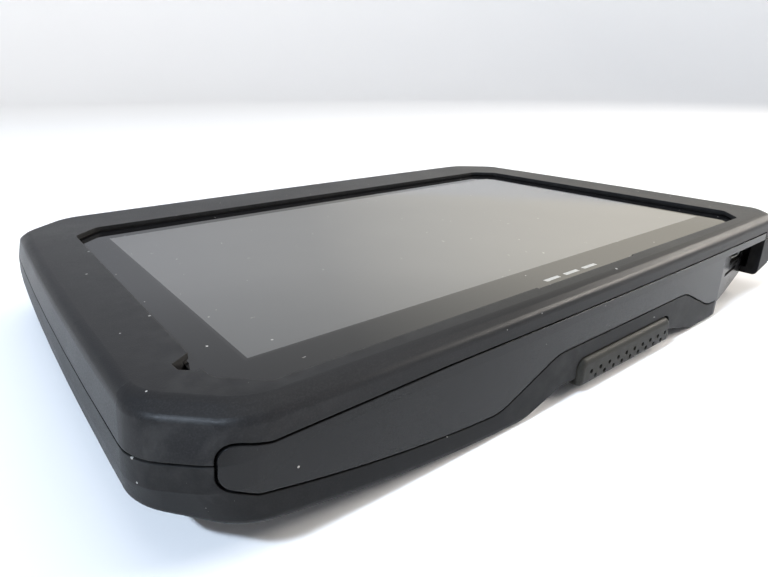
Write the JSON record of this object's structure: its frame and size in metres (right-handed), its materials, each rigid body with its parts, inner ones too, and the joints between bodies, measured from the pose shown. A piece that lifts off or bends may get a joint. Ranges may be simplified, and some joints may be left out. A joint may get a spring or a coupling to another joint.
{
  "type": "handheld gps unit",
  "caption": "Rugged slab navigator with a wide recessed touch screen, chamfered corners, smooth lower side trim, notched port bay, perforated speaker cover and threaded rear mount.",
  "frame": {"origin": "middle of the footprint, on the plane of the flat back that the unit lies on", "axes": "+X along the long side, +Y towards the top edge of the unit, +Z out of the screen"},
  "size_m": [0.1998, 0.1397, 0.025],
  "materials": {
    "frame_plastic": "fine-grained matte black",
    "case_plastic": "fine-grained matte black",
    "trim_plastic": "smooth satin charcoal",
    "cover_glass": "gloss, black printed border",
    "seal_foam": "matte black foam",
    "screen_film": "clear conductive film on glass",
    "display_glass": "grey, switched off",
    "backlight_film": "white diffuser",
    "tray_steel": "zinc-plated",
    "chassis_metal": "as cast",
    "board_mask": "green solder mask",
    "can_metal": "tin-plated",
    "ribbon_film": "amber polyimide",
    "connector_plastic": "black nylon",
    "battery_wrap": "dark foil wrap",
    "antenna_ceramic": "fired ceramic with silvered face",
    "speaker_plastic": "black",
    "cone_film": "treated paper",
    "grille_plastic": "matte, perforated",
    "socket_steel": "nickel-plated",
    "button_plastic": "satin",
    "insert_brass": "knurled, plain",
    "screw_steel": "black oxide"
  },
  "bodies": {
    "case": {"front_frame": "frame_plastic", "rear_case": "case_plastic", "lower_trim": "trim_plastic", "case_seal": "seal_foam", "glass_seal": "seal_foam", "cover_glass": "cover_glass", "touch_sensor": "screen_film", "display_cell": "display_glass", "backlight": "backlight_film", "display_tray": "tray_steel", "chassis_plate": "chassis_metal", "main_board": "board_mask", "shield_cans": "can_metal", "display_ribbon": "ribbon_film", "ribbon_connector": "connector_plastic", "battery_pack": "battery_wrap", "battery_pad": "seal_foam", "antenna_board": "board_mask", "satellite_antenna": "antenna_ceramic", "speaker_basket": "speaker_plastic", "speaker_cone": "cone_film", "speaker_foam": "seal_foam", "speaker_grille": "grille_plastic", "port_board": "board_mask", "usb_shell": "socket_steel", "usb_tongue": "connector_plastic", "card_socket": "socket_steel", "microphone": "can_metal", "switch_body": "connector_plastic", "switch_board": "board_mask", "mount_inserts": "insert_brass", "case_screws": "screw_steel", "chassis_screws": "screw_steel", "board_screws": "screw_steel"},
    "power_key": {"power_button": "button_plastic", "switch_plunger": "connector_plastic"}
  },
  "joints": [
    {"name": "power_key_press", "type": "slide", "parent": "case", "child": "power_key", "axis": [0, -1, 0], "range_m": [0, 0.0005], "stiffness_N_per_m": 2500, "springref_m": -0.0002}
  ]
}
